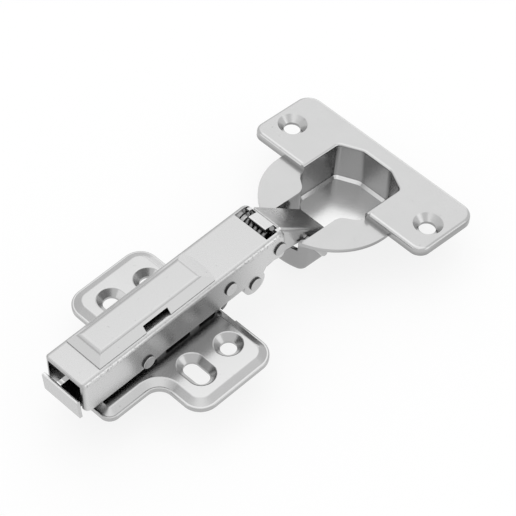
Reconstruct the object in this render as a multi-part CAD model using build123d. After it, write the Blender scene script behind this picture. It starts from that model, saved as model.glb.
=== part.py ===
from build123d import *
import os
from math import atan2, cos, degrees, hypot, radians, sin, tan

# Clip-on concealed cup hinge, opened a little past a right angle, on its mounting plate.
# Millimetres. X runs from the cabinet towards the door, Y across the hinge, +Z away from
# the cabinet side. The origin lies midway between the two round screw holes, on the face
# of the plate that meets the cabinet side. The cup has its own frame: its origin is the
# centre of the bored circle on top of the flange, and it is pitched by CUP_PITCH.

# ---- driving dimensions -------------------------------------------------------------
# mounting plate
PLATE_SHEET = 1.2
PLATE_RISE = 1.1
PLATE_FRONT = 6.7
WING_REAR = -18.2
TONGUE_REAR = -33.6
WING_HALF = 23.0
TONGUE_HALF = 9.8
WING_CORNER = 5.0
TONGUE_CORNER = 2.7
ARMPIT_CORNER = 3.7
STEP_INSET = 0.6
PLATEAU_INSET = 2.4
PLATE_EDGE_R = 0.35
STEP_TOP_R = 0.8
NECK_HALF = 9.3
NECK_SETBACK = 0.5
SCREW_ROW_HALF = 13.5
SLOT_ROW_X = -10.1
SLOT_LENGTH = 3.25
PLATE_HOLE_R = 2.0
PLATE_RIM_R = 3.46
DIMPLE_DEPTH = 1.6
DIMPLE_LIP_R = 0.45

# bridge riveted to the plate
BRIDGE_GAP = 0.3
BRIDGE_SHEET = 1.0
BRIDGE_REAR = -20.2
BRIDGE_WALL_TOP = 5.5
BRIDGE_RIVET_X = (-11.5, -1.0)
BRIDGE_RIVET_R = 1.5
BRIDGE_RIVET_HEAD_R = 2.2
BRIDGE_RIVET_HEAD = 0.4
CATCH_LIP_LOW = 4.15
CATCH_LIP_SHEET = 0.55
CATCH_GAP = 0.3
CATCH_ENGAGE = 0.6

# adapter inside the arm
ADAPTER_GAP = 0.3
ADAPTER_SHEET = 1.0
ADAPTER_TOP = 12.3
ADAPTER_REAR = -34.0
ADAPTER_WALL_REAR = -24.9
ADAPTER_WALL_LOW = 3.3
CATCH_PIN_X = 5.55
CATCH_PIN_Z = 3.98
CATCH_PIN_R = 1.2
ADAPTER_LOBE_R = 2.2
ADAPTER_FOOT_X = (-13.0, -2.5)
PLATE_GAP = 0.15

# hinge arm
ARM_HALF = 6.5
ARM_SHEET = 1.2
ARM_TOP = 14.7
ARM_BEND_R = 1.2
ARM_REAR = -37.2
ARM_NOSE = 25.9
ARM_TOP_FRONT = 20.7
ARM_LOW_REAR = 3.8
ARM_LOW_FRONT = 4.4
ARM_LOW_RUN = 5.2
ARM_LOBE_R = 3.25

# pivots on the arm
OUTER_PIVOT = (23.7, 9.9)
INNER_PIVOT = (15.6, 4.2)
DAMPER_PIVOT = (7.8, 9.3)
TILT_PIVOT = (-18.2, 6.2)
RIVET_R = 1.3
RIVET_HEAD_R = 1.75
RIVET_HEAD = 0.5

# adjusters
DEPTH_TRAVEL = 3.0
CAM_X = -26.6
CAM_HEAD_R = 2.3
CAM_HEAD = 1.2
CAM_SHANK_R = 2.0
CAM_PIN_R = 1.2
SIDE_SCREW_X = -5.0
SIDE_SCREW_R = 2.0
SIDE_NECK_R = 1.2
SIDE_COLLAR_R = 2.2
SIDE_COLLAR = 0.6
SIDE_COLLAR_DROP = 0.55
RUNNING_GAP = 0.05

# clip-on cover
COVER_REAR = -31.3
COVER_FRONT = 5.0
COVER_SETBACK = 1.0
COVER_SIDE_SLOPE = 1.9
COVER_EDGE_R = 1.3
COVER_REAR_R = 2.2
COVER_HEIGHT = 2.6
COVER_REAR_SLOPE = 2.0
COVER_NOSE = 4.0
COVER_SHEET = 0.7
COVER_NOTCH = (-17.2, -9.75)
COVER_NOTCH_HEIGHT = 1.7

# release lever
LEVER_PIVOT = (-22.5, 9.0)
LEVER_PIN_R = 0.9
LEVER_GAP = 0.3
LEVER_SHEET = 0.9
LEVER_TAB_X = -37.7
LEVER_TAB_LEAN = 0.4
LEVER_TAB_INSET = 0.7
LEVER_TAB_LOW = 3.7
LEVER_TAB_TOP = 9.8
LEVER_SPRING_X = -31.5
LEVER_SPRING_R = 1.7
LEVER_SPRING_WIRE_R = 0.3
LEVER_SPRING_TURNS = 5

# damper
DAMPER_AXIS_Z = 6.5
DAMPER_R = 1.9
DAMPER_REAR = -12.0
DAMPER_CLEAR = 0.3
DAMPER_EYE_R = 1.95
DAMPER_EYE_HALF = 1.9
ROD_R = 0.65
ROD_STROKE = 3.0
SLIDER_FRONT = 11.2
SLIDER_LENGTH = 1.2
SLIDER_GAP = 0.4
SLIDER_LOW = 4.4
SLIDER_TOP = 7.1

# links
LINK_SHEET = 1.0
LINK_GAP = 0.25
OUTER_GAP = 0.2
OUTER_TAPER = 0.38
OUTER_BEND_R = 0.9
OUTER_FOLD = (26.0, 13.8)
OUTER_END = (41.2, 0.5)
OUTER_EYE_R = 2.0
OUTER_HEEL_R = 2.6
OUTER_TONGUE_REAR = 22.7
OUTER_STRIP_REAR = 24.4
OUTER_NOTCH_FRONT = 25.3
INNER_GAP = 0.4
INNER_SHEET = 1.0
INNER_BOSS_R = 2.9
INNER_EYE_R = 1.6
INNER_WAIST = 0.85
INNER_WAIST_RUN = 8.0
INNER_BRIDGE = (6.0, 10.0)
OPEN_PIVOT_RUN = 2.7
OPEN_PIVOT_RISE = 0.2
OPEN_PIVOT_GAP = 0.6

# torsion spring on the outer pivot
SPRING_WIRE_R = 0.6
SPRING_R = 2.4
SPRING_COIL_GAP = 0.1
SPRING_END_GAP = 0.1
SPRING_LEG_GAP = 0.05
SPRING_LEG_TURN = 60
SPRING_LEG_TIP = (24.2, 14.2)

# cup
CUP_CENTRE = (47.65, 5.2)
CUP_PITCH = 6.56
CUP_R = 17.5
CUP_SHEET = 1.0
FLANGE_NEAR = 1.0
FLANGE_FAR = 20.95
FLANGE_HALF = 28.0
FLANGE_SHEET = 1.1
FLANGE_SKIRT = 2.2
FLANGE_FAR_CORNER = 4.0
FLANGE_NEAR_CORNER = 3.0
CUP_SCREW_X = 9.5
CUP_SCREW_HALF = 22.5
CUP_HOLE_R = 2.1
CUP_RIM_R = 3.68
CUP_DIMPLE_DEPTH = 1.5
WING_TOP = -1.9
WING_SHEET = 1.0
POCKET_HALF = 10.2
POCKET_R = 16.5
POCKET_FAR = 15.9
POCKET_FLOOR = -11.0
POCKET_CORNER = 1.5
POCKET_SHOULDER_R = 3.0
POCKET_LIP_R = 0.6
BODY_FOOT_R = 2.0
SLOT_GAP = 0.9
SLOT_FLOOR = -10.0
SLOT_FLOOR_END = -8.7
NEAR_WALL_OUT = 17.4
NOTCH_GAP = 0.25
NOTCH_SILL = -5.1
OUTER_CUP_PIN = (-9.9, -8.1)
INNER_CUP_PIN = (-13.2, -3.7)
WINDOW_X = (-14.0, -5.5)
WINDOW_EDGE = 0.9
NEAR_CORNER = 1.2
STAPLE_R = 1.0
STAPLE_CROWN_GAP = 0.1
STAPLE_BEND = 1.05

# ---- derived ------------------------------------------------------------------------
PLATE_TOP = PLATE_SHEET + PLATE_RISE
ARM_INNER = ARM_HALF - ARM_SHEET
ARM_WEB_LOW = ARM_TOP - ARM_SHEET
ADAPTER_HALF = ARM_INNER - ADAPTER_GAP
ADAPTER_INNER = ADAPTER_HALF - ADAPTER_SHEET
BRIDGE_HALF = ADAPTER_INNER - BRIDGE_GAP
LEVER_HALF = ADAPTER_INNER - LEVER_GAP
LEVER_TAB_HALF = ARM_HALF - LEVER_TAB_INSET
COVER_HALF = ARM_HALF - COVER_SETBACK
COVER_TOP_HALF = COVER_HALF - COVER_SIDE_SLOPE
OUTER_HALF = ARM_INNER - OUTER_GAP
OUTER_END_HALF = OUTER_HALF - OUTER_TAPER
OUTER_INNER = OUTER_HALF - LINK_SHEET
INNER_HALF = OUTER_INNER - INNER_GAP
SLIDER_HALF = INNER_HALF - INNER_SHEET - SLIDER_GAP
SPRING_HALF = OUTER_INNER - SPRING_WIRE_R - SPRING_END_GAP
SPRING_TURNS = int(2 * SPRING_HALF / (2 * SPRING_WIRE_R + SPRING_COIL_GAP))
OUTER_TONGUE_HALF = SPRING_HALF - SPRING_WIRE_R - SPRING_LEG_GAP
SLOT_HALF = OUTER_HALF + SLOT_GAP
NOTCH_HALF = OUTER_HALF + NOTCH_GAP
WINDOW_HALF = SLOT_HALF - WINDOW_EDGE
STAPLE_CROWN_Y = -(SLOT_HALF + CUP_SHEET + STAPLE_R + STAPLE_CROWN_GAP)
ADAPTER_WEB_LOW = ADAPTER_TOP - ADAPTER_SHEET
CAM_THROW = DEPTH_TRAVEL / 2
DAMPER_FRONT = CATCH_PIN_X - CATCH_PIN_R - DEPTH_TRAVEL - DAMPER_CLEAR
BRIDGE_WALL_REAR = TILT_PIVOT[0] + DEPTH_TRAVEL + RIVET_R + DAMPER_CLEAR
CUP_PLACE = Location((CUP_CENTRE[0], 0, CUP_CENTRE[1]), (0, CUP_PITCH, 0))


def cup_to_world(point):
    """A point (x', z') of the cup's frame as world (x, z)."""
    pitch = radians(CUP_PITCH)
    x = CUP_CENTRE[0] + point[0] * cos(pitch) + point[1] * sin(pitch)
    z = CUP_CENTRE[1] - point[0] * sin(pitch) + point[1] * cos(pitch)
    return (x, z)


# ---- shape helpers ------------------------------------------------------------------
def outline(corners):
    """A closed face in the local XY plane. Each corner is (x, y, radius)."""
    edges = []
    leaves = []
    arrives = []
    count = len(corners)
    for index, (x, y, radius) in enumerate(corners):
        here = Vector(x, y)
        back = Vector(*corners[index - 1][:2]) - here
        ahead = Vector(*corners[(index + 1) % count][:2]) - here
        if radius == 0:
            arrives.append(here)
            leaves.append(here)
            continue
        half = radians(back.get_angle(ahead)) / 2
        reach = radius / tan(half)
        arrive = here + back.normalized() * reach
        leave = here + ahead.normalized() * reach
        middle = here + (back.normalized() + ahead.normalized()).normalized() * (radius / sin(half) - radius)
        edges.append(Edge.make_three_point_arc(arrive, middle, leave))
        arrives.append(arrive)
        leaves.append(leave)
    for index in range(count):
        start = leaves[index]
        end = arrives[(index + 1) % count]
        if (end - start).length > 1e-4:
            edges.append(Edge.make_line(start, end))
    return Face(Wire(Wire.combine(edges)[0].edges()))


def side_slab(corners, low_y, high_y):
    """A side outline, corners (x, z, radius), as a slab from low_y to high_y."""
    face = Plane.XZ * outline(corners)
    return Pos(0, low_y, 0) * extrude(face, amount=high_y - low_y, dir=(0, 1, 0))


def block(low, high):
    """A box between two corners."""
    size = [b - a for a, b in zip(low, high)]
    middle = [(a + b) / 2 for a, b in zip(low, high)]
    return Pos(*middle) * Box(*size)


def cross_pin(place, radius, low_y, high_y):
    """A cylinder along Y through the side point (x, z)."""
    middle = (low_y + high_y) / 2
    return Pos(place[0], middle, place[1]) * Rot(90, 0, 0) * Cylinder(radius, high_y - low_y)


def upright(x, y, radius, low_z, high_z):
    """A cylinder along Z."""
    return Pos(x, y, (low_z + high_z) / 2) * Cylinder(radius, high_z - low_z)


def lengthwise(z, radius, low_x, high_x):
    """A cylinder along X on the centre line."""
    return Pos((low_x + high_x) / 2, 0, z) * Rot(0, 90, 0) * Cylinder(radius, high_x - low_x)


def mirrored(shape):
    """The shape and its mirror image across the centre line."""
    return shape + mirror(shape, about=Plane.XZ)


def stadium(length, radius):
    """A slot outline along Y, or a circle where the length is nothing."""
    if length == 0:
        return Circle(radius)
    return Rot(0, 0, 90) * SlotCenterToCenter(length, 2 * radius)


def funnel(x, y, length, low_radius, high_radius, low_z, high_z):
    """A cone, drawn out along Y by a length."""
    low = Pos(x, y, low_z) * stadium(length, low_radius)
    high = Pos(x, y, high_z) * stadium(length, high_radius)
    return loft([low.face(), high.face()], ruled=True)


# ---- mounting plate -----------------------------------------------------------------
def plate_face(inset, z):
    """The plate's outline, drawn in by an inset."""
    front = PLATE_FRONT - inset
    wing_rear = WING_REAR + inset
    tongue_rear = TONGUE_REAR + inset
    wing = WING_HALF - inset
    tongue = TONGUE_HALF - inset
    wing_r = WING_CORNER - inset
    tongue_r = max(TONGUE_CORNER - inset, 0.2)
    armpit_r = ARMPIT_CORNER + inset
    right = [(front, -wing, wing_r)]
    left = [
        (front, wing, wing_r),
        (wing_rear, wing, wing_r),
        (wing_rear, tongue, armpit_r),
        (tongue_rear, tongue, tongue_r),
    ]
    rest = [(x, -y, r) for x, y, r in reversed(left[1:])]
    return Pos(0, 0, z) * outline(right + left + rest)


def plate_holes():
    """The two round holes and the two slots: x, y and length."""
    holes = []
    for side in (-1, 1):
        holes.append((0, side * SCREW_ROW_HALF, 0))
        holes.append((SLOT_ROW_X, side * SCREW_ROW_HALF, SLOT_LENGTH))
    return holes


def mounting_plate():
    wall_run = 0.35
    plate = extrude(plate_face(0, 0), amount=PLATE_SHEET)
    plate = fillet(plate.edges().group_by(Axis.Z)[-1], PLATE_EDGE_R)
    step = loft([plate_face(STEP_INSET, PLATE_SHEET), plate_face(PLATEAU_INSET, PLATE_TOP)], ruled=True)
    plate += fillet(step.edges().group_by(Axis.Z)[-1], STEP_TOP_R)
    low_face = plate_face(STEP_INSET + wall_run, 0)
    high_face = plate_face(PLATEAU_INSET + wall_run, PLATE_TOP - PLATE_SHEET)
    plate -= loft([low_face, high_face], ruled=True)
    dimple_low = PLATE_TOP - DIMPLE_DEPTH
    for x, y, length in plate_holes():
        plate += funnel(x, y, length, PLATE_HOLE_R + 1.0, PLATE_RIM_R + 0.9, 0, PLATE_SHEET)
    for x, y, length in plate_holes():
        plate -= funnel(x, y, length, PLATE_HOLE_R, PLATE_RIM_R, dimple_low, PLATE_TOP)
        plate -= funnel(x, y, length, PLATE_HOLE_R, PLATE_HOLE_R, -1, PLATE_TOP)
    rims = plate.edges().filter_by_position(Axis.Z, PLATE_TOP - 0.01, PLATE_TOP + 0.01)
    reach = SLOT_LENGTH / 2 + PLATE_RIM_R + 0.1
    lips = []
    for x, y, length in plate_holes():
        lips += [edge for edge in rims if hypot(edge.center().X - x, edge.center().Y - y) < reach]
    plate = fillet(lips, DIMPLE_LIP_R)
    neck_front = PLATE_FRONT - NECK_SETBACK
    plate -= block((neck_front, -NECK_HALF, -1), (PLATE_FRONT + 1, NECK_HALF, PLATE_TOP + 1))
    for x in BRIDGE_RIVET_X:
        plate -= upright(x, 0, BRIDGE_RIVET_R, -1, PLATE_TOP + 1)
    return plate


# ---- bridge -------------------------------------------------------------------------
def plate_bridge():
    base_top = PLATE_TOP + BRIDGE_SHEET
    front = CATCH_PIN_X + CATCH_PIN_R + 1.4
    wall = [
        (BRIDGE_WALL_REAR, PLATE_TOP, 0),
        (front, PLATE_TOP, 0),
        (front, CATCH_PIN_Z + 0.9, 0.5),
        (CATCH_PIN_X, CATCH_PIN_Z + 0.9, 0),
        (CATCH_PIN_X - 2.4, BRIDGE_WALL_TOP, 0.8),
        (BRIDGE_WALL_REAR, BRIDGE_WALL_TOP, 1.0),
    ]
    bridge_front = PLATE_FRONT - NECK_SETBACK
    bridge = block((BRIDGE_REAR, -BRIDGE_HALF, PLATE_TOP), (bridge_front, BRIDGE_HALF, base_top))
    bridge += side_slab(wall, BRIDGE_HALF - BRIDGE_SHEET, BRIDGE_HALF)
    bridge += side_slab(wall, -BRIDGE_HALF, BRIDGE_SHEET - BRIDGE_HALF)
    seat_r = CATCH_PIN_R + RUNNING_GAP
    bridge -= cross_pin((CATCH_PIN_X, CATCH_PIN_Z), seat_r, -BRIDGE_HALF - 1, BRIDGE_HALF + 1)
    mouth_low = (CATCH_PIN_X - seat_r, -BRIDGE_HALF - 1, CATCH_PIN_Z)
    mouth_high = (CATCH_PIN_X + seat_r - 0.35, BRIDGE_HALF + 1, BRIDGE_WALL_TOP + 1)
    bridge -= block(mouth_low, mouth_high)
    lip_top = CATCH_LIP_LOW + CATCH_LIP_SHEET
    catch = [
        (BRIDGE_REAR + 1.6, base_top, 0),
        (BRIDGE_REAR + 1.6, CATCH_LIP_LOW, 0.2),
        (BRIDGE_REAR, CATCH_LIP_LOW, 0.15),
        (BRIDGE_REAR, lip_top, 0.3),
        (BRIDGE_REAR + 1.6 + BRIDGE_SHEET, lip_top, 0.4),
        (BRIDGE_REAR + 1.6 + BRIDGE_SHEET, base_top, 0),
    ]
    bridge += side_slab(catch, -2.2, 2.2)
    for x in BRIDGE_RIVET_X:
        bridge -= upright(x, 0, BRIDGE_RIVET_R, PLATE_TOP - 1, base_top + 1)
    return bridge


def bridge_rivets():
    base_top = PLATE_TOP + BRIDGE_SHEET
    rivets = []
    for x in BRIDGE_RIVET_X:
        rivet = upright(x, 0, BRIDGE_RIVET_R, PLATE_TOP - PLATE_SHEET, base_top)
        rivet += upright(x, 0, BRIDGE_RIVET_HEAD_R, base_top, base_top + BRIDGE_RIVET_HEAD)
        rivet += upright(x, 0, BRIDGE_RIVET_HEAD_R, PLATE_TOP - PLATE_SHEET - 0.6, PLATE_TOP - PLATE_SHEET)
        rivets.append(rivet)
    return Compound(rivets)


# ---- adapter ------------------------------------------------------------------------
def adapter_channel():
    wall = [
        (ADAPTER_WALL_REAR, ADAPTER_TOP, 0),
        (ADAPTER_WALL_REAR, LEVER_PIVOT[1] - 2.0, 1.2),
        (TILT_PIVOT[0] - 2.6, ADAPTER_WALL_LOW, 1.2),
        (CATCH_PIN_X, ADAPTER_WALL_LOW, 0),
        (CATCH_PIN_X, DAMPER_PIVOT[1] - 3.4, 0),
        (CATCH_PIN_X - 2.2, DAMPER_PIVOT[1] - 3.4, 0.8),
        (CATCH_PIN_X - 3.2, ADAPTER_TOP, 0),
    ]
    lobe_centre = (CATCH_PIN_X + 0.5, CATCH_PIN_Z - 0.45)
    wall_slab = side_slab(wall, ADAPTER_INNER, ADAPTER_HALF)
    wall_slab += cross_pin(lobe_centre, ADAPTER_LOBE_R, ADAPTER_INNER, ADAPTER_HALF)
    neck_clear = (PLATE_FRONT - NECK_SETBACK + PLATE_GAP, ADAPTER_HALF + 1, PLATE_TOP + PLATE_GAP)
    wall_slab -= block((CATCH_PIN_X - 5, ADAPTER_INNER - 1, PLATE_TOP - 3), neck_clear)
    for foot_x in ADAPTER_FOOT_X:
        foot = ((foot_x - 1.5, ADAPTER_INNER, PLATE_TOP), (foot_x + 1.5, ADAPTER_HALF, ADAPTER_WALL_LOW))
        wall_slab += block(*foot)
    web_front = CATCH_PIN_X - 3.2
    adapter = block((ADAPTER_REAR, -ADAPTER_HALF, ADAPTER_WEB_LOW), (web_front, ADAPTER_HALF, ADAPTER_TOP))
    adapter += mirrored(wall_slab)
    top_edges = adapter.edges().filter_by(Axis.X)
    top_edges = top_edges.filter_by_position(Axis.Z, ADAPTER_TOP - 0.01, ADAPTER_TOP + 0.01)
    adapter = fillet(top_edges, ADAPTER_SHEET * 0.9)
    reach = ADAPTER_HALF + 1
    slot_r = RIVET_R + 0.1
    tilt_far = (TILT_PIVOT[0] + DEPTH_TRAVEL, TILT_PIVOT[1])
    for place in (TILT_PIVOT, tilt_far):
        adapter -= cross_pin(place, slot_r, -reach, reach)
    slot_low = (TILT_PIVOT[0], -reach, TILT_PIVOT[1] - slot_r)
    slot_high = (tilt_far[0], reach, TILT_PIVOT[1] + slot_r)
    adapter -= block(slot_low, slot_high)
    adapter -= cross_pin(LEVER_PIVOT, LEVER_PIN_R, -reach, reach)
    adapter -= cross_pin((CATCH_PIN_X, CATCH_PIN_Z), CATCH_PIN_R, -reach, reach)
    cam_slot_r = CAM_PIN_R + 0.4
    cam_slot = SlotCenterToCenter(2 * CAM_THROW, 2 * cam_slot_r, rotation=90)
    adapter -= Pos(CAM_X + CAM_THROW, 0, ADAPTER_WEB_LOW - 1) * extrude(cam_slot, amount=4)
    neck_slot = SlotCenterToCenter(DEPTH_TRAVEL + 1.0, 2 * SIDE_NECK_R + 0.5)
    adapter -= Pos(SIDE_SCREW_X + DEPTH_TRAVEL / 2, 0, ADAPTER_WEB_LOW - 1) * extrude(neck_slot, amount=4)
    return adapter


def catch_pin():
    pin = cross_pin((CATCH_PIN_X, CATCH_PIN_Z), CATCH_PIN_R, -ADAPTER_HALF - 0.2, ADAPTER_HALF + 0.2)
    return pin


def lever_pin():
    return cross_pin(LEVER_PIVOT, LEVER_PIN_R, -ADAPTER_HALF - 0.2, ADAPTER_HALF + 0.2)


# ---- hinge arm ----------------------------------------------------------------------
def hinge_arm():
    side = [
        (ARM_REAR, ARM_TOP, 0.4),
        (ARM_REAR, ARM_LOW_REAR, 2.4),
        (TILT_PIVOT[0] + 0.4, ARM_LOW_REAR, 3.0),
        (TILT_PIVOT[0] + ARM_LOW_RUN, ARM_LOW_FRONT, 3.0),
        (INNER_PIVOT[0] + 2.7, ARM_LOW_FRONT, 0),
        (ARM_TOP_FRONT - 0.4, OUTER_PIVOT[1] - 2.95, 0.9),
        (ARM_NOSE, OUTER_PIVOT[1] - 4.7, 1.5),
        (ARM_NOSE, ARM_TOP, 2.3),
    ]
    arm = side_slab(side, -ARM_HALF, ARM_HALF)
    lobe_centre = (INNER_PIVOT[0] - 0.2, INNER_PIVOT[1] + 0.3)
    arm += cross_pin(lobe_centre, ARM_LOBE_R, -ARM_HALF, ARM_HALF)
    top_edges = arm.edges().filter_by(Axis.X).filter_by_position(Axis.Z, ARM_TOP - 0.01, ARM_TOP + 0.01)
    arm = fillet(top_edges, ARM_BEND_R)
    arm -= block((ARM_REAR - 1, -ARM_INNER, -5), (ARM_NOSE + 1, ARM_INNER, ARM_WEB_LOW))
    arm -= block((ARM_TOP_FRONT, -ARM_INNER, ARM_WEB_LOW - 1), (ARM_NOSE + 1, ARM_INNER, ARM_TOP + 1))
    for pivot in (OUTER_PIVOT, INNER_PIVOT, DAMPER_PIVOT):
        arm -= cross_pin(pivot, RIVET_R, -ARM_HALF - 1, ARM_HALF + 1)
    arm -= cross_pin(TILT_PIVOT, RIVET_R + RUNNING_GAP, -ARM_HALF - 1, ARM_HALF + 1)
    arm -= upright(CAM_X, 0, CAM_SHANK_R + RUNNING_GAP, ARM_WEB_LOW - 1, ARM_TOP + 1)
    arm -= upright(SIDE_SCREW_X, 0, SIDE_SCREW_R + RUNNING_GAP, ARM_WEB_LOW - 1, ARM_TOP + 1)
    for low, high in cover_hook_slots():
        arm -= block((low, -1.6, ARM_WEB_LOW - 1), (high, 1.6, ARM_TOP + 1))
    return arm


def rivet(pivot):
    """A pivot rivet through both walls of the arm, with a low head at each end."""
    body = cross_pin(pivot, RIVET_R, -ARM_HALF, ARM_HALF)
    for side in (-1, 1):
        ends = sorted((side * ARM_HALF, side * (ARM_HALF + RIVET_HEAD)))
        head = cross_pin(pivot, RIVET_HEAD_R, *ends)
        rim = head.edges().filter_by(GeomType.CIRCLE).filter_by_position(
            Axis.Y, side * (ARM_HALF + RIVET_HEAD) - 0.01, side * (ARM_HALF + RIVET_HEAD) + 0.01)
        body += fillet(rim, 0.2)
    return body


# ---- adjusters ----------------------------------------------------------------------
def cross_recess(x, top, reach, depth):
    """A cross-shaped driver recess."""
    bar = block((x - reach, -0.35, top - depth), (x + reach, 0.35, top + 1))
    other = block((x - 0.35, -reach, top - depth), (x + 0.35, reach, top + 1))
    return bar + other


def depth_adjust_cam():
    top = ARM_TOP + CAM_HEAD
    cam = upright(CAM_X, 0, CAM_HEAD_R, ARM_TOP, top)
    cam = chamfer(cam.edges().group_by(Axis.Z)[-1], 0.25)
    cam += upright(CAM_X, 0, CAM_SHANK_R, ARM_WEB_LOW - 0.3, ARM_TOP)
    cam += upright(CAM_X + CAM_THROW, 0, CAM_PIN_R, ADAPTER_WEB_LOW - 0.3, ARM_WEB_LOW - 0.3)
    cam -= cross_recess(CAM_X, top, 1.5, 0.9)
    return cam


def side_adjust_screw():
    top = ARM_TOP + CAM_HEAD
    collar_top = ADAPTER_WEB_LOW - SIDE_COLLAR_DROP
    screw = upright(SIDE_SCREW_X, 0, SIDE_SCREW_R, ADAPTER_TOP + 0.6, top)
    screw = chamfer(screw.edges().group_by(Axis.Z)[-1], 0.25)
    screw += upright(SIDE_SCREW_X, 0, SIDE_NECK_R, collar_top, ADAPTER_TOP + 0.6)
    screw += upright(SIDE_SCREW_X, 0, SIDE_COLLAR_R, collar_top - SIDE_COLLAR, collar_top)
    screw -= cross_recess(SIDE_SCREW_X, top, 1.3, 0.9)
    return screw


# ---- cover --------------------------------------------------------------------------
def cover_hook_slots():
    """Two slots in the arm's web that take the cover's hooks: low and high x."""
    return ((-21.4, -19.6), (0.4, 2.2))


def cover_form(inset):
    """The cover's outer form, or its inner one, drawn in by an inset."""
    low = ARM_TOP
    top = ARM_TOP + COVER_HEIGHT - inset
    rear = COVER_REAR + inset
    front = COVER_FRONT - inset
    half = COVER_HALF - inset
    top_half = COVER_TOP_HALF - inset * 0.6
    side = [
        (rear, low, 0),
        (front, low, 0),
        (front, low + 0.35, 0),
        (COVER_FRONT - COVER_NOSE, top, 1.5),
        (rear + COVER_REAR_SLOPE, top, COVER_REAR_R),
        (rear, low + 0.3, 0),
    ]
    form = side_slab(side, -half, half)
    section = [
        (-half, low - 1, 0),
        (half, low - 1, 0),
        (half, low + 0.3, 0),
        (top_half, top, COVER_EDGE_R),
        (-top_half, top, COVER_EDGE_R),
        (-half, low + 0.3, 0),
    ]
    form &= Pos(rear - 1, 0, 0) * extrude(Plane.YZ * outline(section), amount=front - rear + 2)
    nose_r = (COVER_HALF ** 2 + 1) / 2
    form &= upright(front - nose_r, 0, nose_r, low - 1, top + 1) + block(
        (rear - 1, -half, low - 1), (front - nose_r, half, top + 1))
    return form


def arm_cover():
    cover = cover_form(0) - cover_form(COVER_SHEET)
    low, high = COVER_NOTCH
    notch_low = (low, -COVER_HALF - 1, ARM_TOP - 1)
    notch_high = (high, -COVER_TOP_HALF - 0.2, ARM_TOP + COVER_NOTCH_HEIGHT)
    cover -= block(notch_low, notch_high)
    hook_top = ARM_TOP + COVER_HEIGHT - COVER_SHEET
    for low, high in cover_hook_slots():
        leg_low = low + 0.5
        leg_high = high - 0.5
        cover += block((leg_low, -1.4, ARM_WEB_LOW - 0.5), (leg_high, 1.4, hook_top + 0.1))
    return cover


# ---- release lever ------------------------------------------------------------------
def release_lever():
    web_top = LEVER_TAB_LOW + LEVER_SHEET
    nose_tip = BRIDGE_REAR + CATCH_ENGAGE
    hub_r = LEVER_PIN_R + 1.0
    ear = [
        (LEVER_PIVOT[0] - 8.5, LEVER_TAB_LOW, 0),
        (LEVER_PIVOT[0] + hub_r - 0.1, LEVER_TAB_LOW, 0.4),
        (LEVER_PIVOT[0] + hub_r, LEVER_PIVOT[1], 0),
        (LEVER_PIVOT[0] - hub_r, LEVER_PIVOT[1], 0),
    ]
    ear_slab = side_slab(ear, LEVER_HALF - LEVER_SHEET, LEVER_HALF - 0.2)
    ear_slab += cross_pin(LEVER_PIVOT, hub_r, LEVER_HALF - LEVER_SHEET, LEVER_HALF - 0.2)
    lever = mirrored(ear_slab)
    hub_low = LEVER_PIVOT[0] - hub_r
    web_half = LEVER_HALF - 0.2
    web_rear = LEVER_TAB_X - LEVER_SHEET / 2
    lever += block((web_rear, -web_half, LEVER_TAB_LOW), (hub_low + 3.6, web_half, web_top))
    nose = [
        (hub_low + 2.0, LEVER_TAB_LOW, 0),
        (hub_low + 2.0, PLATE_TOP + 1.0, 0.3),
        (nose_tip, PLATE_TOP + 1.25, 0.1),
        (nose_tip, CATCH_LIP_LOW - CATCH_GAP, 0.1),
        (hub_low + 3.6, CATCH_LIP_LOW - CATCH_GAP, 0),
        (hub_low + 3.6, web_top, 0),
        (hub_low + 2.0, web_top, 0),
    ]
    lever += side_slab(nose, -1.9, 1.9)
    tab = [
        (LEVER_TAB_X, LEVER_TAB_LOW, 0),
        (LEVER_TAB_X - LEVER_TAB_LEAN, LEVER_TAB_TOP, 0.2),
        (LEVER_TAB_X - LEVER_TAB_LEAN - LEVER_SHEET, LEVER_TAB_TOP, 0.4),
        (LEVER_TAB_X - LEVER_SHEET, LEVER_TAB_LOW, 0.4),
    ]
    lever += side_slab(tab, -LEVER_TAB_HALF, LEVER_TAB_HALF)
    lever -= cross_pin(LEVER_PIVOT, LEVER_PIN_R + RUNNING_GAP, -LEVER_HALF - 1, LEVER_HALF + 1)
    return lever


def coil(radius, wire_r, pitch, turns):
    """A round wire wound along Z, starting at the origin's height."""
    path = Helix(pitch=pitch, height=pitch * turns, radius=radius)
    profile = Plane(origin=path @ 0, z_dir=path % 0) * Circle(wire_r)
    return sweep(profile, path=path, is_frenet=True)


def lever_spring():
    low = LEVER_TAB_LOW + LEVER_SHEET + LEVER_SPRING_WIRE_R
    high = ADAPTER_WEB_LOW - LEVER_SPRING_WIRE_R
    pitch = (high - low) / LEVER_SPRING_TURNS
    return Pos(LEVER_SPRING_X, 0, low) * coil(LEVER_SPRING_R, LEVER_SPRING_WIRE_R, pitch, LEVER_SPRING_TURNS)


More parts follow.
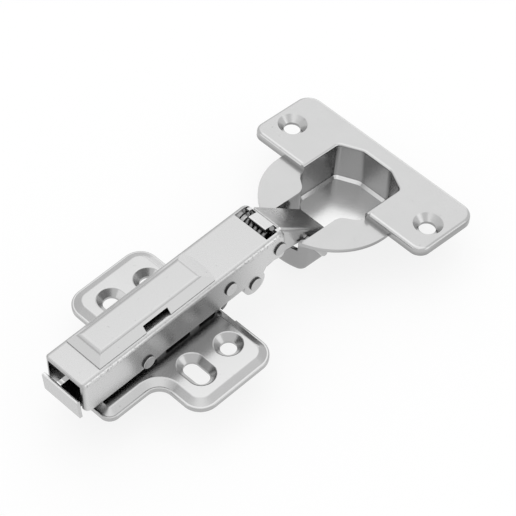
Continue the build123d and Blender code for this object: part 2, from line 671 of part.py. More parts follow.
# ---- damper -------------------------------------------------------------------------
def damper_cylinder():
    body = lengthwise(DAMPER_AXIS_Z, DAMPER_R, DAMPER_REAR, DAMPER_FRONT)
    body = fillet(body.edges().filter_by(GeomType.CIRCLE), 0.4)
    eye_low = DAMPER_PIVOT[1] - DAMPER_EYE_R
    neck = [
        (DAMPER_FRONT - 2.5, eye_low, 0),
        (DAMPER_PIVOT[0], eye_low, 0),
        (DAMPER_PIVOT[0], DAMPER_PIVOT[1] + DAMPER_EYE_R, 0),
        (DAMPER_FRONT - 2.5, DAMPER_AXIS_Z + DAMPER_R - 0.4, 0),
    ]
    body += side_slab(neck, -DAMPER_EYE_HALF, DAMPER_EYE_HALF)
    body += cross_pin(DAMPER_PIVOT, DAMPER_EYE_R, -DAMPER_EYE_HALF, DAMPER_EYE_HALF)
    body -= cross_pin(DAMPER_PIVOT, RIVET_R, -ARM_HALF, ARM_HALF)
    body -= lengthwise(DAMPER_AXIS_Z, ROD_R + RUNNING_GAP, DAMPER_REAR + 4, DAMPER_FRONT + 1)
    return body


def damper_rod():
    rear = DAMPER_REAR + 4 + ROD_STROKE + 0.5
    return lengthwise(DAMPER_AXIS_Z, ROD_R, rear, SLIDER_FRONT - SLIDER_LENGTH)


def damper_slider():
    side = [
        (SLIDER_FRONT - SLIDER_LENGTH, SLIDER_LOW, 0.2),
        (SLIDER_FRONT, SLIDER_LOW, 0.4),
        (SLIDER_FRONT, SLIDER_TOP, 0.4),
        (SLIDER_FRONT - SLIDER_LENGTH, SLIDER_TOP, 0.2),
    ]
    return side_slab(side, -SLIDER_HALF, SLIDER_HALF)


# ---- links --------------------------------------------------------------------------
def plan_walls(points, thickness):
    """Two upright walls whose outer faces follow a plan line on each side."""
    outer = [(x, y) for x, y in points]
    inner = [(x, y - thickness) for x, y in reversed(points)]
    wall = make_face(Polyline(*outer, *inner, close=True))
    return mirrored(Pos(0, 0, -20) * extrude(wall, amount=60, dir=(0, 0, 1)))


def outer_plan():
    """The outer link's half width along its length."""
    return [(10, OUTER_HALF), (28, OUTER_HALF), (OUTER_END[0] + 1, OUTER_END_HALF)]


def pin_sweep(eye, pin):
    """The room that the inner leg of the staple needs beside the outer link's eye."""
    radius = hypot(pin[0] - eye[0], pin[1] - eye[1])
    width = STAPLE_R + LINK_GAP
    start = atan2(pin[1] - eye[1], pin[0] - eye[0])
    reach = OUTER_HALF + 1
    ring = cross_pin(eye, radius + width, -reach, reach) - cross_pin(eye, radius - width, -reach, reach)
    fan = [eye]
    for step in (0, 42, 84, 126):
        angle = start + radians(step)
        fan.append((eye[0] + 14 * cos(angle), eye[1] + 14 * sin(angle)))
    wedge = side_slab([(x, z, 0) for x, z in fan], -reach, reach)
    return (ring & wedge) + cross_pin(pin, width, -reach, reach)


def outer_link():
    eye = cup_to_world(OUTER_CUP_PIN)
    pin = cup_to_world(INNER_CUP_PIN)
    run = Vector(OUTER_END[0] - OUTER_FOLD[0], OUTER_END[1] - OUTER_FOLD[1]).normalized()
    under = (run.Y * LINK_SHEET, -run.X * LINK_SHEET)
    end_low = (OUTER_END[0] + under[0], OUTER_END[1] + under[1])
    fold_low = (OUTER_FOLD[0] + under[0], OUTER_FOLD[1] + under[1])
    web = [
        (*OUTER_FOLD, 0),
        (*OUTER_END, 0),
        (*end_low, 0),
        (*fold_low, 0),
    ]
    tongue = [
        (OUTER_TONGUE_REAR, OUTER_FOLD[1] - 0.3, 0.3),
        (*fold_low, 0),
        (*OUTER_FOLD, 0.4),
        (OUTER_TONGUE_REAR, OUTER_FOLD[1] + 0.7, 0.3),
    ]
    flange = [
        (OUTER_PIVOT[0] - 1.4, OUTER_PIVOT[1] + 2.2, 0),
        (OUTER_STRIP_REAR, OUTER_PIVOT[1] + OUTER_HEEL_R - 0.3, 0),
        (OUTER_STRIP_REAR, OUTER_FOLD[1] - 0.3, 0),
        (*OUTER_FOLD, 0),
        (*OUTER_END, 0),
        (eye[0] + 2.6, eye[1] - 0.9, 1.0),
        (eye[0] + 0.6, eye[1] - OUTER_EYE_R + 0.1, 0),
        (eye[0], eye[1], 0),
        (31.3, 4.3, 0),
        (27.3, 5.4, 2.0),
        (OUTER_PIVOT[0] - 0.5, OUTER_PIVOT[1] - OUTER_HEEL_R + 0.1, 0),
    ]
    sides = side_slab(flange, -OUTER_HALF, OUTER_HALF)
    sides += cross_pin(OUTER_PIVOT, OUTER_HEEL_R, -OUTER_HALF, OUTER_HALF)
    sides += cross_pin(eye, OUTER_EYE_R, -OUTER_HALF, OUTER_HALF)
    sides -= pin_sweep(eye, pin)
    link = sides & plan_walls(outer_plan(), LINK_SHEET)
    plan = [(x, y) for x, y in outer_plan()] + [(x, -y) for x, y in reversed(outer_plan())]
    plan_solid = Pos(0, 0, -20) * extrude(make_face(Polyline(*plan, close=True)), amount=60, dir=(0, 0, 1))
    link += side_slab(web, -OUTER_HALF, OUTER_HALF) & plan_solid
    fold_lip = side_slab(tongue, -OUTER_HALF, OUTER_HALF)
    lip_low = OUTER_FOLD[1] - 2
    lip_top = OUTER_FOLD[1] + 2
    strip_low = (OUTER_TONGUE_REAR - 1, OUTER_INNER, lip_low)
    fold_lip -= mirrored(block(strip_low, (OUTER_STRIP_REAR, OUTER_HALF + 1, lip_top)))
    notch_low = (OUTER_TONGUE_REAR - 1, OUTER_TONGUE_HALF, lip_low)
    notch = mirrored(block(notch_low, (OUTER_NOTCH_FRONT, OUTER_INNER, lip_top)))
    link = link + fold_lip - notch
    bends = []
    for edge in link.edges():
        middle = edge.center()
        on_side = abs(abs(middle.Y) - OUTER_HALF) < OUTER_TAPER
        drop = (middle.X - OUTER_FOLD[0]) * run.Y - (middle.Z - OUTER_FOLD[1]) * run.X
        if on_side and abs(drop) < 0.02 and edge.length > 1:
            bends.append(edge)
    link = fillet(bends, OUTER_BEND_R)
    link -= cross_pin(eye, STAPLE_R + RUNNING_GAP, -OUTER_HALF - 1, OUTER_HALF + 1)
    link -= cross_pin(OUTER_PIVOT, RIVET_R + RUNNING_GAP, -OUTER_HALF - 1, OUTER_HALF + 1)
    return link


def inner_link():
    pin = cup_to_world(INNER_CUP_PIN)
    length = hypot(pin[0] - INNER_PIVOT[0], pin[1] - INNER_PIVOT[1])
    turn = degrees(atan2(pin[1] - INNER_PIVOT[1], pin[0] - INNER_PIVOT[0]))
    ear_low = INNER_HALF - INNER_SHEET
    slot_end = (OPEN_PIVOT_RUN, OPEN_PIVOT_RISE)
    slot_r = RIVET_R + OPEN_PIVOT_GAP
    ear = [
        (0, -INNER_BOSS_R + 0.3, 0),
        (length - INNER_WAIST_RUN, -INNER_WAIST, 2.0),
        (length, -INNER_WAIST, 0),
        (length, INNER_WAIST, 0),
        (length - INNER_WAIST_RUN, INNER_WAIST + 0.3, 2.0),
        (OPEN_PIVOT_RUN, INNER_BOSS_R - 0.1, 0),
        (0, INNER_BOSS_R - 0.1, 0),
    ]
    ear_slab = side_slab(ear, ear_low, INNER_HALF)
    ear_slab += cross_pin((0, 0), INNER_BOSS_R, ear_low, INNER_HALF)
    ear_slab += cross_pin(slot_end, INNER_BOSS_R, ear_low, INNER_HALF)
    ear_slab += cross_pin((length, 0), INNER_EYE_R, ear_low, INNER_HALF)
    link = mirrored(ear_slab)
    bridge_near, bridge_far = INNER_BRIDGE
    link += block((bridge_near, -INNER_HALF, -1.0), (bridge_far, INNER_HALF, -1.0 + INNER_SHEET))
    link += block((-INNER_BOSS_R, -INNER_HALF, -0.8), (-INNER_BOSS_R + INNER_SHEET, INNER_HALF, 0.8))
    reach = INNER_HALF + 1
    link -= cross_pin((0, OPEN_PIVOT_RISE), slot_r, -reach, reach)
    link -= cross_pin(slot_end, slot_r, -reach, reach)
    slot_low = (0, -reach, OPEN_PIVOT_RISE - slot_r)
    slot_high = (OPEN_PIVOT_RUN, reach, OPEN_PIVOT_RISE + slot_r)
    link -= block(slot_low, slot_high)
    link -= cross_pin((length, 0), STAPLE_R + RUNNING_GAP, -reach, reach)
    return Location((INNER_PIVOT[0], 0, INNER_PIVOT[1]), (0, -turn, 0)) * link


def torsion_spring():
    pitch = 2 * SPRING_HALF / SPRING_TURNS
    wound = coil(SPRING_R, SPRING_WIRE_R, pitch, SPRING_TURNS)
    place = Pos(OUTER_PIVOT[0], SPRING_HALF, OUTER_PIVOT[1]) * Rot(90, 0, 0) * Rot(0, 0, SPRING_LEG_TURN)
    turn = radians(SPRING_LEG_TURN)
    start_x = OUTER_PIVOT[0] + SPRING_R * cos(turn)
    start_z = OUTER_PIVOT[1] + SPRING_R * sin(turn)
    leg_line = Line((start_x, -SPRING_HALF, start_z), (SPRING_LEG_TIP[0], -SPRING_HALF, SPRING_LEG_TIP[1]))
    leg = sweep(Plane(origin=leg_line @ 0, z_dir=leg_line % 0) * Circle(SPRING_WIRE_R), path=leg_line)
    leg += Pos(start_x, -SPRING_HALF, start_z) * Sphere(SPRING_WIRE_R)
    return place * wound + leg


# ---- cup (in the cup's own frame) ---------------------------------------------------
def pocket_face(grow, z):
    """The pocket's plan, widened by the wall where grow is set."""
    half = POCKET_HALF + grow
    slot = SLOT_HALF + grow
    far = POCKET_R + grow
    near = NEAR_WALL_OUT - CUP_SHEET + grow
    far_x = (far ** 2 - half ** 2) ** 0.5
    near_x = (near ** 2 - slot ** 2) ** 0.5
    flat_x = POCKET_FAR + grow
    flat_y = (far ** 2 - flat_x ** 2) ** 0.5
    side = [
        Edge.make_line((far_x, half), (1.2, half)),
        Edge.make_spline([Vector(1.2, half), Vector(-5.2, slot)], tangents=[Vector(-1, 0), Vector(-1, 0)]),
        Edge.make_line((-5.2, slot), (-near_x, slot)),
    ]
    other = [edge.mirror(Plane.XZ) for edge in side]
    ends = [
        Edge.make_three_point_arc(Vector(-near_x, slot), Vector(-near, 0), Vector(-near_x, -slot)),
        Edge.make_line((far_x, half), (flat_x, flat_y)),
        Edge.make_line((flat_x, flat_y), (flat_x, -flat_y)),
        Edge.make_line((flat_x, -flat_y), (far_x, -half)),
    ]
    face = Face(Wire.combine(side + other + ends)[0])
    corners = face.vertices().filter_by(lambda v: v.X > far_x - 0.01 and abs(v.Y) > half - 0.01)
    face = fillet(corners, POCKET_CORNER)
    shoulders = face.vertices().filter_by(lambda v: v.X > flat_x - 0.01)
    face = fillet(shoulders, POCKET_SHOULDER_R)
    near_points = face.vertices().filter_by(lambda v: v.X < 0.01 - near_x)
    face = fillet(near_points, NEAR_CORNER + grow)
    return Pos(0, 0, z) * face


def flange_face(inset, z):
    """The flange's plan, drawn in by an inset on the sides and the near edge."""
    near = FLANGE_NEAR + inset
    far = FLANGE_FAR - inset
    half = FLANGE_HALF - inset
    near_r = FLANGE_NEAR_CORNER - inset
    far_r = FLANGE_FAR_CORNER - inset
    corners = [(near, -half, near_r), (far, -half, far_r), (far, half, far_r), (near, half, near_r)]
    return Pos(0, 0, z) * outline(corners)


def hinge_cup():
    flange = extrude(flange_face(0, -FLANGE_SKIRT), amount=FLANGE_SKIRT)
    flange = fillet(flange.edges().group_by(Axis.Z)[-1], 0.9)
    flange -= extrude(flange_face(FLANGE_SHEET, -FLANGE_SKIRT - 1), amount=FLANGE_SKIRT + 1 - FLANGE_SHEET)
    wing = upright(0, 0, CUP_R, WING_TOP - WING_SHEET, WING_TOP)
    wing -= block((FLANGE_NEAR + 0.5, -CUP_R - 1, -9), (CUP_R + 1, CUP_R + 1, 1))
    body = extrude(pocket_face(CUP_SHEET, POCKET_FLOOR - CUP_SHEET), amount=-POCKET_FLOOR + CUP_SHEET)
    body -= block((-CUP_R - 1, -CUP_R, WING_TOP), (FLANGE_NEAR, CUP_R, 1))
    body = fillet(body.edges().group_by(Axis.Z)[0], BODY_FOOT_R)
    step_depth = (SLOT_FLOOR - CUP_SHEET) - (POCKET_FLOOR - CUP_SHEET)
    body -= block((-CUP_R - 1, -CUP_R, -20), (SLOT_FLOOR_END, CUP_R, POCKET_FLOOR - CUP_SHEET + step_depth))
    cup = flange + wing + body
    pocket = extrude(pocket_face(0, POCKET_FLOOR), amount=-POCKET_FLOOR)
    pocket = chamfer(pocket.edges().group_by(Axis.Z)[0], 0.7)
    pocket += block((-CUP_R - 2, -CUP_R - 2, 0), (CUP_R + 2, CUP_R + 2, 1))
    rim = pocket.edges().filter_by(lambda e: abs(e.center().Z) < 0.001)
    lip = rim.filter_by(lambda e: hypot(e.center().X, e.center().Y) < CUP_R)
    pocket = fillet(lip, POCKET_LIP_R)
    pocket -= block((-CUP_R - 1, -CUP_R, POCKET_FLOOR - 1), (SLOT_FLOOR_END + CUP_SHEET, CUP_R, SLOT_FLOOR))
    cup -= pocket
    notch_low = (-CUP_R - 1, -NOTCH_HALF, NOTCH_SILL)
    cup -= block(notch_low, (-NEAR_WALL_OUT + 3, NOTCH_HALF, 1))
    cup -= block((WINDOW_X[0], -WINDOW_HALF, POCKET_FLOOR - 2), (WINDOW_X[1], WINDOW_HALF, SLOT_FLOOR + 1))
    for side in (-1, 1):
        place = (CUP_SCREW_X, side * CUP_SCREW_HALF, 0)
        dimple_low = -CUP_DIMPLE_DEPTH
        cup += funnel(*place, CUP_HOLE_R + 0.8, CUP_RIM_R + 0.8, -FLANGE_SKIRT, -FLANGE_SHEET)
        cup -= funnel(*place, CUP_HOLE_R, CUP_RIM_R, dimple_low, 0)
        cup -= funnel(*place, CUP_HOLE_R, CUP_HOLE_R, -FLANGE_SKIRT - 1, 0)
    reach = SLOT_HALF + CUP_SHEET + 1
    for pin in (OUTER_CUP_PIN, INNER_CUP_PIN):
        cup -= cross_pin(pin, STAPLE_R, -reach, reach)
    return CUP_PLACE * cup


def cup_staple():
    leg_end = SLOT_HALF + CUP_SHEET + 0.2
    outer = Vector(OUTER_CUP_PIN[0], 0, OUTER_CUP_PIN[1])
    inner = Vector(INNER_CUP_PIN[0], 0, INNER_CUP_PIN[1])
    across = Vector(0, 1, 0)
    points = [
        inner + across * leg_end,
        inner + across * STAPLE_CROWN_Y,
        outer + across * STAPLE_CROWN_Y,
        outer + across * leg_end,
    ]
    path = FilletPolyline(*points, radius=STAPLE_BEND)
    profile = Plane(origin=path @ 0, z_dir=path % 0) * Circle(STAPLE_R)
    return CUP_PLACE * sweep(profile, path=path)


# ---- write the pieces ---------------------------------------------------------------
def pieces():
    return {
        "mounting_plate": mounting_plate(),
        "plate_bridge": plate_bridge(),
        "bridge_rivets": bridge_rivets(),
        "adapter_channel": adapter_channel(),
        "catch_pin": catch_pin(),
        "lever_pin": lever_pin(),
        "hinge_arm": hinge_arm(),
        "outer_link_rivet": rivet(OUTER_PIVOT),
        "inner_link_rivet": rivet(INNER_PIVOT),
        "damper_rivet": rivet(DAMPER_PIVOT),
        "tilt_rivet": rivet(TILT_PIVOT),
        "arm_cover": arm_cover(),
        "depth_adjust_cam": depth_adjust_cam(),
        "side_adjust_screw": side_adjust_screw(),
        "release_lever": release_lever(),
        "lever_spring": lever_spring(),
        "damper_cylinder": damper_cylinder(),
        "damper_rod": damper_rod(),
        "damper_slider": damper_slider(),
        "outer_link": outer_link(),
        "inner_link": inner_link(),
        "torsion_spring": torsion_spring(),
        "hinge_cup": hinge_cup(),
        "cup_staple": cup_staple(),
    }


os.makedirs("parts", exist_ok=True)
for name, piece in pieces().items():
    export_step(piece, f"parts/{name}.step")
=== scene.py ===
"""Looks for the concealed cup hinge: nickel-plated pressed steel on a plain pale floor."""

import math

import bmesh
import bpy
from mathutils import Matrix, Vector


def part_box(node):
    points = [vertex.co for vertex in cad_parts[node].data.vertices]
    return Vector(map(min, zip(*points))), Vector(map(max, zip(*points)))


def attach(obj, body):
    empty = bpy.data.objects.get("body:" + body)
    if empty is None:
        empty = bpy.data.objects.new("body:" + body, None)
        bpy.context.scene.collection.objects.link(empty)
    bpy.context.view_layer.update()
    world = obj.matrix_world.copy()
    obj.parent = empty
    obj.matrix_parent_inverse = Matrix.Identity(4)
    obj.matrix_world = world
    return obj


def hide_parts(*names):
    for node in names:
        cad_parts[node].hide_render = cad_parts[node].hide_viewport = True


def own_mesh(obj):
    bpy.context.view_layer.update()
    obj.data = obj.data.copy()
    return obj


MM = 0.001

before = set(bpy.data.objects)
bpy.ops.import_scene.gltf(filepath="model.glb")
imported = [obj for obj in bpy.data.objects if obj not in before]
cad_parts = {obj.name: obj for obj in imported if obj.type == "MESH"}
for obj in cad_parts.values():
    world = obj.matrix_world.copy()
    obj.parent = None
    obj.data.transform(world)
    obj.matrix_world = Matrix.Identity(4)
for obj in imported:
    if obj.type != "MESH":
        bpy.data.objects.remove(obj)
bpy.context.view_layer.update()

# ---- view ---------------------------------------------------------------------------
VIEW_AZIMUTH = -43.85
VIEW_HEIGHT = 50.86
VIEW_ROLL = -1.12
FOCUS_PX = 2513.1
IMAGE_PX = 516
TARGET = Vector((47.65, 0, 5.2)) * MM
TARGET_OFFSET_PX = (73.82, -66.94)
CAMERA_DISTANCE = 597.77 * MM
SENSOR_MM = 36.0

# ---- light --------------------------------------------------------------------------
FLOOR_LEVEL = -9.6 * MM
FLOOR_HALF = 3.0
FLOOR_GREY = (0.95, 0.95, 0.95, 1)
FLOOR_WHITE = 0.8
WORLD_STRENGTH = 0.75
WHITE = (1, 1, 1, 1)

# ---- where the marks and the painted light and shade lie on the part ----------------
SIDEWAYS = (0.5, 0.95)
ARM_PAINTED_REFLECTION_X = -4.0 * MM
ARM_PAINTED_REFLECTION_REACH = (4.0 * MM, 24.0 * MM)
ARM_BEND_SIDE = (5.6 * MM, 6.2 * MM)
ARM_BEND_HEIGHT = (12.8 * MM, 13.8 * MM)
POCKET_SHADE_TOP = 4.4 * MM
POCKET_SHADE_FADE = 1.2 * MM
POCKET_LIGHT_DEPTH = (2.5 * MM, 4.0 * MM)
LEVER_SHADE_X = (-37.2 * MM, -36.6 * MM)

# ---- plating ------------------------------------------------------------------------
GLOSS_CLOUD = 0.12
GLOSS_GRAIN = 0.06
PIT_RANGE = (0.24, 0.30)
PIT_SHOWS = 0.25
PIT_SHADE = 0.55
PIT_DEPTH = 0.5
PLATING_RELIEF = 0.03 * MM
FINE_RELIEF = 0.02 * MM


# ---- shader maths -------------------------------------------------------------------
class Wire:
    """One output socket; arithmetic on it adds Math nodes."""

    def __init__(self, tree, socket):
        self.tree = tree
        self.socket = socket

    def math(self, operation, first, second=None):
        values = {0: first}
        if second is not None:
            values[1] = second
        return self.tree.add("ShaderNodeMath", {"operation": operation}, values)

    def size(self):
        """The value without its sign."""
        return self.math("ABSOLUTE", self)

    def __add__(self, other):
        return self.math("ADD", self, other)

    def __radd__(self, other):
        return self.math("ADD", other, self)

    def __sub__(self, other):
        return self.math("SUBTRACT", self, other)

    def __rsub__(self, other):
        return self.math("SUBTRACT", other, self)

    def __mul__(self, other):
        return self.math("MULTIPLY", self, other)

    def __rmul__(self, other):
        return self.math("MULTIPLY", other, self)


class Tree:
    """The node tree of a material or world, with one method that adds any node."""

    def __init__(self, name, owners=bpy.data.materials):
        self.material = owners.new(name)
        self.material.use_nodes = True
        self.nodes = self.material.node_tree.nodes
        self.links = self.material.node_tree.links
        self.nodes.clear()

    def put(self, socket, value):
        if isinstance(value, Wire):
            self.links.new(value.socket, socket)
        else:
            socket.default_value = value

    def add(self, kind, settings=None, inputs=None, output=0):
        node = self.nodes.new(kind)
        for name, value in (settings or {}).items():
            if name == "stops":
                ramp = node.color_ramp
                while len(ramp.elements) < len(value):
                    ramp.elements.new(0.5)
                for element, (place, grey) in zip(ramp.elements, value):
                    element.position = place
                    element.color = (grey, grey, grey, 1)
            else:
                setattr(node, name, value)
        for key, value in (inputs or {}).items():
            self.put(node.inputs[key], value)
        return Wire(self, node.outputs[output]) if node.outputs else None


def grey_colour(level):
    return (level, level, level, 1)


def object_place(tree):
    return tree.add("ShaderNodeTexCoord", output="Object")


def place_part(tree, axis):
    return tree.add("ShaderNodeSeparateXYZ", {}, {0: object_place(tree)}, output=axis)


def normal_part(tree, axis):
    normal = tree.add("ShaderNodeTexCoord", output="Normal")
    return tree.add("ShaderNodeSeparateXYZ", {}, {0: normal}, output=axis)


def side_facing(tree):
    """How squarely the surface faces sideways, from 0 to 1."""
    return normal_part(tree, "Y").size()


def ease(tree, value, low, high):
    """Nothing below the low value, one above the high one, and smooth between."""
    settings = {"interpolation_type": "SMOOTHSTEP"}
    return tree.add("ShaderNodeMapRange", settings, {"Value": value, "From Min": low, "From Max": high})


def noise(tree, scale, detail, roughness=0.5):
    """Noise that is fixed to the part, at a scale per metre."""
    inputs = {"Vector": object_place(tree), "Scale": scale, "Detail": detail, "Roughness": roughness}
    return tree.add("ShaderNodeTexNoise", {}, inputs)


def relief(tree, strength, depth, height):
    return tree.add("ShaderNodeBump", {}, {"Strength": strength, "Distance": depth, "Height": height})


def grey_over(tree, share, base, level):
    """The base colour with a share of plain grey laid over it."""
    inputs = {"Factor": share, "A": base, "B": grey_colour(level)}
    return tree.add("ShaderNodeMix", {"data_type": "RGBA"}, inputs, output=2)


def surfaced(tree, inputs):
    """The tree's material, with one surface that has these inputs."""
    surface = tree.add("ShaderNodeBsdfPrincipled", {}, inputs)
    tree.add("ShaderNodeOutputMaterial", {}, {"Surface": surface})
    return tree.material


# ---- marks, and painted light and shade ---------------------------------------------
def arm_side_painted_reflection(tree):
    """Painted dark reflection: the middle of the arm's side walls, made darker."""
    from_middle = (place_part(tree, "X") - ARM_PAINTED_REFLECTION_X).size()
    middle = 1 - ease(tree, from_middle, *ARM_PAINTED_REFLECTION_REACH)
    return middle * ease(tree, side_facing(tree), *SIDEWAYS)


def arm_side_painted_light(tree):
    """Painted light: the arm's side walls, made lighter."""
    return ease(tree, side_facing(tree), *SIDEWAYS)


def pocket_floor_painted_light(tree):
    """Painted light: the cup's floor, which faces up at the bottom of the pocket, made lighter."""
    upward = ease(tree, normal_part(tree, "Z"), 0.6, 0.9)
    return upward * ease(tree, 0 - place_part(tree, "Z"), *POCKET_LIGHT_DEPTH)


def pocket_wall_painted_shade(tree):
    """Painted shade: the cup's upright walls, below its flange, made darker."""
    upright = 1 - ease(tree, normal_part(tree, "Z").size(), 0.3, 0.6)
    return upright * ease(tree, POCKET_SHADE_TOP - place_part(tree, "Z"), 0.0, POCKET_SHADE_FADE)


def arm_bend_scuff(tree):
    """Fine scuffing along the bend between the arm's top and its side walls."""
    side = place_part(tree, "Y").size()
    height = place_part(tree, "Z")
    bend = ease(tree, side, *ARM_BEND_SIDE) * ease(tree, height, *ARM_BEND_HEIGHT)
    return bend * ease(tree, noise(tree, 1700.0, 4.0), 0.46, 0.70)


def rivet_rim_painted_reflection(tree):
    """Painted dark reflection on the turned edge of a rivet head."""
    return 1 - ease(tree, side_facing(tree), 0.35, 0.85)


def lever_inside_painted_shade(tree):
    """Painted shade: the part of the release lever that stays inside the arm, made darker."""
    return ease(tree, place_part(tree, "X"), *LEVER_SHADE_X)


# ---- materials ----------------------------------------------------------------------
def plated_steel(name, level, roughness, mottle=0.10, marks_and_painted_light=()):
    """Nickel-plated sheet: faint cloudiness, fine pitting and a soft, uneven gloss.

    Each mark or painted light or shade is a mask and the share of the level that shows there."""
    tree = Tree(name)
    cloud = noise(tree, 140.0, 4.0, 0.6)
    fine = noise(tree, 2600.0, 3.0, 0.7)
    stops = ((0.0, 1.0), (PIT_RANGE[0], 1.0), (PIT_RANGE[1], 0.0))
    pit = tree.add("ShaderNodeValToRGB", {"stops": stops}, {"Fac": noise(tree, 900.0, 2.0)})
    shade = grey_over(tree, cloud, grey_colour(level * (1 - mottle)), level * (1 + mottle))
    shade = grey_over(tree, pit * PIT_SHOWS, shade, level * PIT_SHADE)
    for mask, share in marks_and_painted_light:
        shade = grey_over(tree, mask(tree), shade, level * share)
    gloss = cloud * GLOSS_CLOUD + fine * GLOSS_GRAIN + (roughness - GLOSS_CLOUD / 2 - GLOSS_GRAIN / 2)
    bump = relief(tree, 0.10, PLATING_RELIEF, fine - pit * PIT_DEPTH)
    return surfaced(tree, {"Base Color": shade, "Roughness": gloss, "Metallic": 1.0, "Normal": bump})


def spring_wire(name, level):
    tree = Tree(name)
    drawn = noise(tree, 1500.0, 2.0)
    bump = relief(tree, 0.15, FINE_RELIEF, drawn)
    gloss = drawn * 0.2 + 0.15
    return surfaced(
        tree, {"Base Color": grey_colour(level), "Roughness": gloss, "Metallic": 1.0, "Normal": bump})


def moulded_plastic(name, colour):
    tree = Tree(name)
    grain = noise(tree, 1800.0, 3.0)
    bump = relief(tree, 0.2, FINE_RELIEF, grain)
    return surfaced(tree, {"Base Color": colour, "Roughness": grain * 0.2 + 0.45, "Normal": bump})


def dress(nodes, material):
    for name in nodes:
        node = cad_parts[name]
        for slot in node.material_slots:
            slot.material = material
        if not node.material_slots:
            node.data.materials.append(material)


dress(("mounting_plate",), plated_steel("plate_nickel", 0.44, 0.22, mottle=0.06))
# The arm's side walls get painted light and a painted dark reflection in their middle; the bend gets
# scuffing.
arm_marks_and_painted_light = ((arm_side_painted_light, 1.50), (arm_side_painted_reflection, 0.71), (arm_bend_scuff, 0.84))
dress(("hinge_arm",), plated_steel("arm_nickel_painted_light", 0.42, 0.27, mottle=0.04, marks_and_painted_light=arm_marks_and_painted_light))
# Painted shade on the part of the lever inside the arm.
lever_painted_shade = ((lever_inside_painted_shade, 0.18),)
dress(("release_lever",), plated_steel("lever_nickel_painted_shade", 0.56, 0.27, mottle=0.04, marks_and_painted_light=lever_painted_shade))
dress(("arm_cover",), plated_steel("cover_nickel", 0.40, 0.22, mottle=0.04))
# Painted shade on the pocket walls and painted light on the pocket floor.
cup_painted_light_and_shade = ((pocket_wall_painted_shade, 0.72), (pocket_floor_painted_light, 1.48))
dress(("hinge_cup",), plated_steel("cup_nickel", 0.47, 0.22, mottle=0.04, marks_and_painted_light=cup_painted_light_and_shade))
dress(("outer_link", "inner_link"), plated_steel("link_nickel", 0.53, 0.26))
# Painted shade: the parts inside the arm are made dark.
dress(("adapter_channel", "plate_bridge"), plated_steel("inner_nickel_painted_shade", 0.16, 0.34))
# The rivet heads get a painted dark reflection on their turned rims.
dress(
    ("outer_link_rivet", "inner_link_rivet", "damper_rivet", "tilt_rivet"),
    plated_steel("rivet_steel", 0.52, 0.24, mottle=0.05, marks_and_painted_light=((rivet_rim_painted_reflection, 0.12),)))
dress(
    ("bridge_rivets", "catch_pin", "lever_pin", "damper_rod", "cup_staple"),
    plated_steel("pin_steel", 0.46, 0.22, mottle=0.05))
dress(("depth_adjust_cam", "side_adjust_screw"), plated_steel("screw_steel", 0.40, 0.28))
spring_steel = spring_wire("spring_steel", 0.17)
dress(("torsion_spring", "lever_spring"), spring_steel)
dress(("damper_cylinder", "damper_slider"), moulded_plastic("damper_plastic", (0.05, 0.05, 0.052, 1)))


# ---- release lever's spring ---------------------------------------------------------
LEVER_SPRING_WIRE_R = 0.3 * MM
LEVER_SPRING_TURNS = 5
TURN_STEPS = 24
WIRE_SIDES = 12
FACE_ORDER_STEP = 100000


def face_order(face):
    """A number of its own for each face, because spin lists them differently from run to run."""
    numbers = [vert.index for vert in face.verts]
    return max(numbers) * FACE_ORDER_STEP + sum(numbers)


def wound_spring(name, node):
    """A round wire wound upwards in the room of a CAD spring, and the height of its top."""
    low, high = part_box(node)
    coil_r = (high.x - low.x) / 2 - LEVER_SPRING_WIRE_R
    start = (low + high) / 2
    start.z = low.z + LEVER_SPRING_WIRE_R
    pitch = (high.z - low.z - 2 * LEVER_SPRING_WIRE_R) / LEVER_SPRING_TURNS
    lean = math.atan2(pitch, math.tau * coil_r)
    first = Matrix.Translation(start + Vector((coil_r, 0, 0))) @ Matrix.Rotation(lean - math.pi / 2, 4, "X")
    mesh = bpy.data.meshes.new(name)
    shape = bmesh.new()
    bmesh.ops.create_circle(shape, segments=WIRE_SIDES, radius=LEVER_SPRING_WIRE_R, matrix=first)
    bmesh.ops.spin(
        shape, geom=shape.edges[:], cent=start, axis=(0, 0, 1), dvec=(0, 0, pitch / TURN_STEPS),
        angle=math.tau * LEVER_SPRING_TURNS, steps=TURN_STEPS * LEVER_SPRING_TURNS)
    for face in shape.faces:
        face.smooth = True
    bmesh.ops.holes_fill(shape, edges=[edge for edge in shape.edges if edge.is_boundary], sides=WIRE_SIDES)
    bmesh.ops.recalc_face_normals(shape, faces=shape.faces)
    shape.verts.index_update()
    shape.faces.sort(key=face_order)
    shape.to_mesh(mesh)
    shape.free()
    spring = bpy.data.objects.new(name, mesh)
    bpy.context.scene.collection.objects.link(spring)
    return spring, high.z


lever_coil, lever_coil_top = wound_spring("lever_coil", "lever_spring")
lever_coil.data.materials.append(spring_steel)
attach(lever_coil, "base")
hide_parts("lever_spring")
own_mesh(lever_coil)


# ---- floor, light and camera --------------------------------------------------------
def seen_rays(tree):
    """One for camera, glossy and transmission rays, and nothing for the rest."""
    camera = tree.add("ShaderNodeLightPath", output="Is Camera Ray")
    glossy = tree.add("ShaderNodeLightPath", output="Is Glossy Ray")
    through = tree.add("ShaderNodeLightPath", output="Is Transmission Ray")
    return camera.math("MAXIMUM", camera.math("MAXIMUM", camera, glossy), through)


def white_surface(name):
    """A matt floor that is seen as white, with some of its own light left so that shadows show."""
    tree = Tree(name)
    matt = tree.add("ShaderNodeBsdfDiffuse", {}, {"Color": FLOOR_GREY})
    white = tree.add("ShaderNodeEmission", {}, {"Color": WHITE, "Strength": 1.0})
    surface = tree.add("ShaderNodeMixShader", {}, {0: seen_rays(tree) * FLOOR_WHITE, 1: matt, 2: white})
    tree.add("ShaderNodeOutputMaterial", {}, {"Surface": surface})
    return tree.material


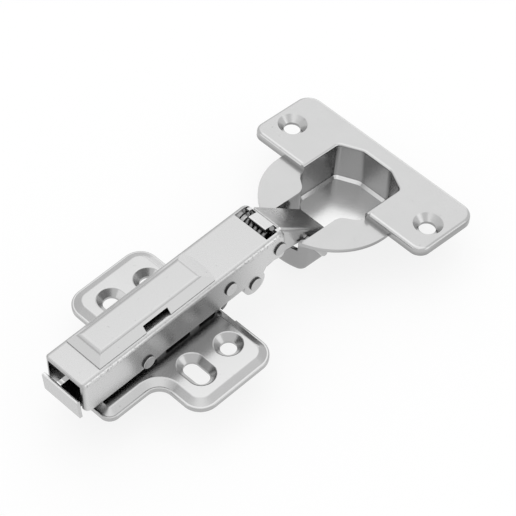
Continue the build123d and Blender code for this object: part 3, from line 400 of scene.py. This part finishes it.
def make_floor():
    mesh = bpy.data.meshes.new("floor")
    shape = bmesh.new()
    bmesh.ops.create_grid(shape, x_segments=1, y_segments=1, size=FLOOR_HALF)
    bmesh.ops.translate(shape, verts=shape.verts, vec=(0, 0, FLOOR_LEVEL))
    shape.to_mesh(mesh)
    shape.free()
    floor = bpy.data.objects.new("floor", mesh)
    bpy.context.scene.collection.objects.link(floor)
    mesh.materials.append(white_surface("floor_white"))


def make_lamp(name, place, aim, size, power):
    """A soft area lamp, in metres and watts."""
    data = bpy.data.lights.new(name, "AREA")
    data.shape = "RECTANGLE"
    data.size, data.size_y = size
    data.energy = power
    lamp = bpy.data.objects.new(name, data)
    lamp.location = place
    lamp.rotation_mode = "QUATERNION"
    lamp.rotation_quaternion = (Vector(aim) - Vector(place)).to_track_quat("-Z", "Y")
    bpy.context.scene.collection.objects.link(lamp)


def make_world():
    tree = Tree("studio", bpy.data.worlds)
    light = tree.add("ShaderNodeBackground", {}, {"Color": WHITE, "Strength": WORLD_STRENGTH})
    white = tree.add("ShaderNodeBackground", {}, {"Color": WHITE, "Strength": 1.0})
    surface = tree.add("ShaderNodeMixShader", {}, {0: seen_rays(tree), 1: light, 2: white})
    tree.add("ShaderNodeOutputWorld", {}, {"Surface": surface})
    bpy.context.scene.world = tree.material


def make_camera():
    azimuth = math.radians(VIEW_AZIMUTH)
    height = math.radians(VIEW_HEIGHT)
    roll = math.radians(VIEW_ROLL)
    reach = math.cos(height)
    back = Vector((math.sin(azimuth) * reach, -math.cos(azimuth) * reach, math.sin(height)))
    level = Vector((0, 0, 1)).cross(back).normalized()
    rise = back.cross(level)
    right = math.cos(roll) * level + math.sin(roll) * rise
    up = -math.sin(roll) * level + math.cos(roll) * rise
    across = -TARGET_OFFSET_PX[0] * CAMERA_DISTANCE / FOCUS_PX
    upward = TARGET_OFFSET_PX[1] * CAMERA_DISTANCE / FOCUS_PX
    data = bpy.data.cameras.new("camera")
    data.sensor_width = SENSOR_MM
    data.lens = FOCUS_PX * SENSOR_MM / IMAGE_PX
    data.clip_start, data.clip_end = 0.01, 20.0
    camera = bpy.data.objects.new("camera", data)
    turn = Matrix((right, up, back)).transposed()
    camera.rotation_mode = "QUATERNION"
    camera.rotation_quaternion = turn.to_quaternion()
    camera.location = TARGET + right * across + up * upward + back * CAMERA_DISTANCE
    bpy.context.scene.collection.objects.link(camera)
    bpy.context.scene.camera = camera


bpy.context.scene.view_settings.view_transform = "Standard"
make_floor()
make_world()
make_lamp("top_softbox", (0.0, 0.0, 0.9), (0, 0, 0), (1.2, 1.2), 2.4)
make_lamp("rear_softbox", (0.50, 0.50, 0.85), (0.01, 0, 0), (1.1, 1.1), 1.5)
make_lamp("left_softbox", (-0.85, 0.45, 0.32), (0, 0, 0), (0.6, 0.6), 0.62)
make_lamp("door_softbox", (0.88, 0.46, 0.14), (0, 0, 0), (0.5, 0.5), 0.6)
make_lamp("front_softbox", (0.45, -0.85, 0.36), (0, 0, 0), (0.6, 0.6), 0.8)
make_camera()
